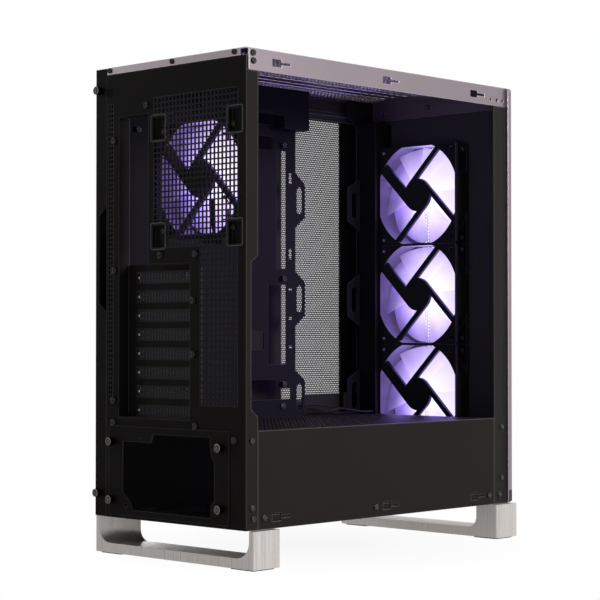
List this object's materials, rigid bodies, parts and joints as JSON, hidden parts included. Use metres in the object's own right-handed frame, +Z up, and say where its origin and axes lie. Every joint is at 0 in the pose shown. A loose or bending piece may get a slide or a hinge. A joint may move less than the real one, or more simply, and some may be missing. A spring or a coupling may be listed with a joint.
{
  "type": "desktop computer tower",
  "caption": "Empty desktop computer tower: black steel frame open at the left side, alloy roof and front, perforated right cover, axial fans, milled alloy feet.",
  "frame": {"origin": "middle of the footprint, on the floor", "axes": "+Z up; the front panel faces -Y, the rear panel +Y; the open side faces -X and the right cover +X"},
  "size_m": [0.244, 0.4436, 0.527],
  "materials": {
    "frame_steel": "fine matte powder coat, warm black",
    "vent_steel": "matte powder coat on perforated sheet",
    "slot_steel": "satin black",
    "roof_alloy": "satin anodised, mauve grey",
    "front_alloy": "satin anodised, mauve grey",
    "foot_alloy": "brushed, clear anodised",
    "pad_rubber": "matte",
    "screw_steel": "black nickel",
    "standoff_steel": "blackened",
    "lead_sheath": "matte black sheath, limp",
    "plug_plastic": "matte black",
    "filter_plastic": "matte black",
    "port_plastic": "matte black",
    "board_laminate": "solder resist",
    "socket_steel": "plain",
    "jack_plastic": "matte black",
    "button_plastic": "satin black",
    "fan_plastic": "matte black",
    "rotor_plastic": "frosted translucent white, lit from the hub"
  },
  "bodies": {
    "chassis": {"audio_jack": "jack_plastic", "base_grille": "vent_steel", "base_panel": "frame_steel", "board_standoffs": "standoff_steel", "board_tray": "frame_steel", "cable_bracket": "frame_steel", "cable_cover": "frame_steel", "fan_hub": "port_plastic", "foot_pads": "pad_rubber", "front_fan_bottom_frame": "fan_plastic", "front_fan_middle_frame": "fan_plastic", "front_fan_top_frame": "fan_plastic", "front_foot": "foot_alloy", "front_frame": "frame_steel", "front_mesh": "vent_steel", "front_panel": "front_alloy", "lead_lower": "lead_sheath", "lead_middle": "lead_sheath", "lead_plugs": "plug_plastic", "lead_upper": "lead_sheath", "port_bezel": "port_plastic", "port_board": "board_laminate", "rear_edge_grille": "vent_steel", "rear_fan_frame": "fan_plastic", "rear_fan_grille": "vent_steel", "rear_foot": "foot_alloy", "rear_panel": "frame_steel", "rear_vent_grille": "vent_steel", "right_rail_bottom": "frame_steel", "right_rail_top": "frame_steel", "roof_dust_filter": "filter_plastic", "roof_grilles": "roof_alloy", "roof_panel": "roof_alloy", "shroud_grille": "vent_steel", "slot_cover_1": "slot_steel", "slot_cover_2": "slot_steel", "slot_cover_3": "slot_steel", "slot_cover_4": "slot_steel", "slot_cover_5": "slot_steel", "slot_cover_6": "slot_steel", "slot_cover_7": "slot_steel", "slot_cover_8": "slot_steel", "supply_bracket": "frame_steel", "supply_pads": "pad_rubber", "supply_shroud": "frame_steel", "supply_thumbscrews": "screw_steel", "usb_sockets": "socket_steel"},
    "bottom_rotor": {"front_fan_bottom_rotor": "rotor_plastic"},
    "middle_rotor": {"front_fan_middle_rotor": "rotor_plastic"},
    "top_rotor": {"front_fan_top_rotor": "rotor_plastic"},
    "rear_rotor": {"rear_fan_rotor": "rotor_plastic"},
    "cover": {"right_cover": "frame_steel", "right_cover_mesh": "vent_steel", "cover_thumbscrews": "screw_steel"},
    "base_filter": {"base_dust_filter": "filter_plastic"},
    "power_button_cap": {"power_button": "button_plastic"},
    "reset_button_cap": {"reset_button": "button_plastic"}
  },
  "joints": [
    {"name": "rear_rotor_spin", "type": "hinge", "parent": "chassis", "child": "rear_rotor", "pos_m": [-0.0361, 0.1926, 0.398], "axis": [0, 1, 0], "continuous": true},
    {"name": "top_rotor_spin", "type": "hinge", "parent": "chassis", "child": "top_rotor", "pos_m": [0.0007, -0.2002, 0.4053], "axis": [0, 1, 0], "continuous": true},
    {"name": "middle_rotor_spin", "type": "hinge", "parent": "chassis", "child": "middle_rotor", "pos_m": [0.0007, -0.2002, 0.2853], "axis": [0, 1, 0], "continuous": true},
    {"name": "bottom_rotor_spin", "type": "hinge", "parent": "chassis", "child": "bottom_rotor", "pos_m": [0.0007, -0.2002, 0.1653], "axis": [0, 1, 0], "continuous": true},
    {"name": "power_press", "type": "slide", "parent": "chassis", "child": "power_button_cap", "axis": [0, 1, 0], "range_m": [0, 0.001], "stiffness_N_per_m": 400, "springref_m": -0.0008},
    {"name": "reset_press", "type": "slide", "parent": "chassis", "child": "reset_button_cap", "axis": [0, 1, 0], "range_m": [0, 0.001], "stiffness_N_per_m": 400, "springref_m": -0.0008},
    {"name": "cover_slide", "type": "slide", "parent": "chassis", "child": "cover", "axis": [0, 1, 0], "range_m": [0, 0.015]},
    {"name": "filter_slide", "type": "slide", "parent": "chassis", "child": "base_filter", "axis": [0, 1, 0], "range_m": [0, 0.16]}
  ]
}
